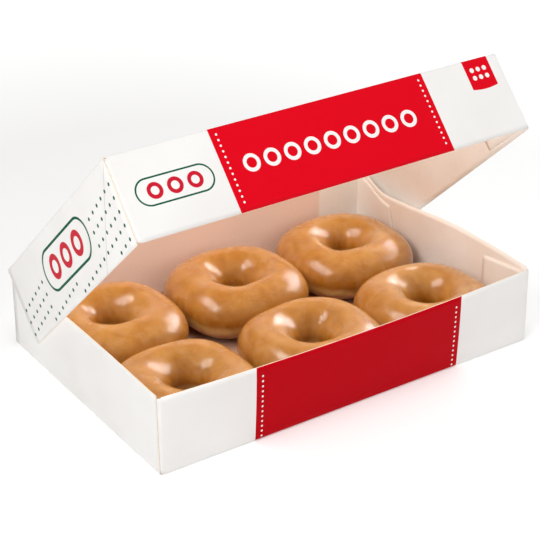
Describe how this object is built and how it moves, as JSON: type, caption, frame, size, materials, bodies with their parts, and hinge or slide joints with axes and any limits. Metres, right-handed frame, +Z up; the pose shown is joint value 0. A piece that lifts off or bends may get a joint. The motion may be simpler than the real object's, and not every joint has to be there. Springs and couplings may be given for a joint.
{
  "type": "box of doughnuts",
  "caption": "Shallow card takeaway box with a hinged lid standing part open over glazed ring doughnuts laid three by two.",
  "frame": {"origin": "middle of the tray's underside, on the surface the box stands on", "axes": "+X along the box's long side to the right, +Y to the hinge at the back, +Z up"},
  "size_m": [0.267, 0.1757, 0.1744],
  "materials": {
    "tray_card": "white printed board, satin",
    "lid_card": "white printed board, satin",
    "glazed_doughnut": "glossy sugar glaze over fried dough"
  },
  "bodies": {
    "tray": {"tray": "tray_card", "doughnut_back_left": "glazed_doughnut", "doughnut_back_middle": "glazed_doughnut", "doughnut_back_right": "glazed_doughnut", "doughnut_front_left": "glazed_doughnut", "doughnut_front_middle": "glazed_doughnut", "doughnut_front_right": "glazed_doughnut"},
    "lid": {"lid": "lid_card"}
  },
  "joints": [
    {"name": "lid_hinge", "type": "hinge", "parent": "tray", "child": "lid", "pos_m": [0, 0.08775, 0.0505], "axis": [-1, 0, 0], "range_deg": [-43.7, 136.3]}
  ]
}
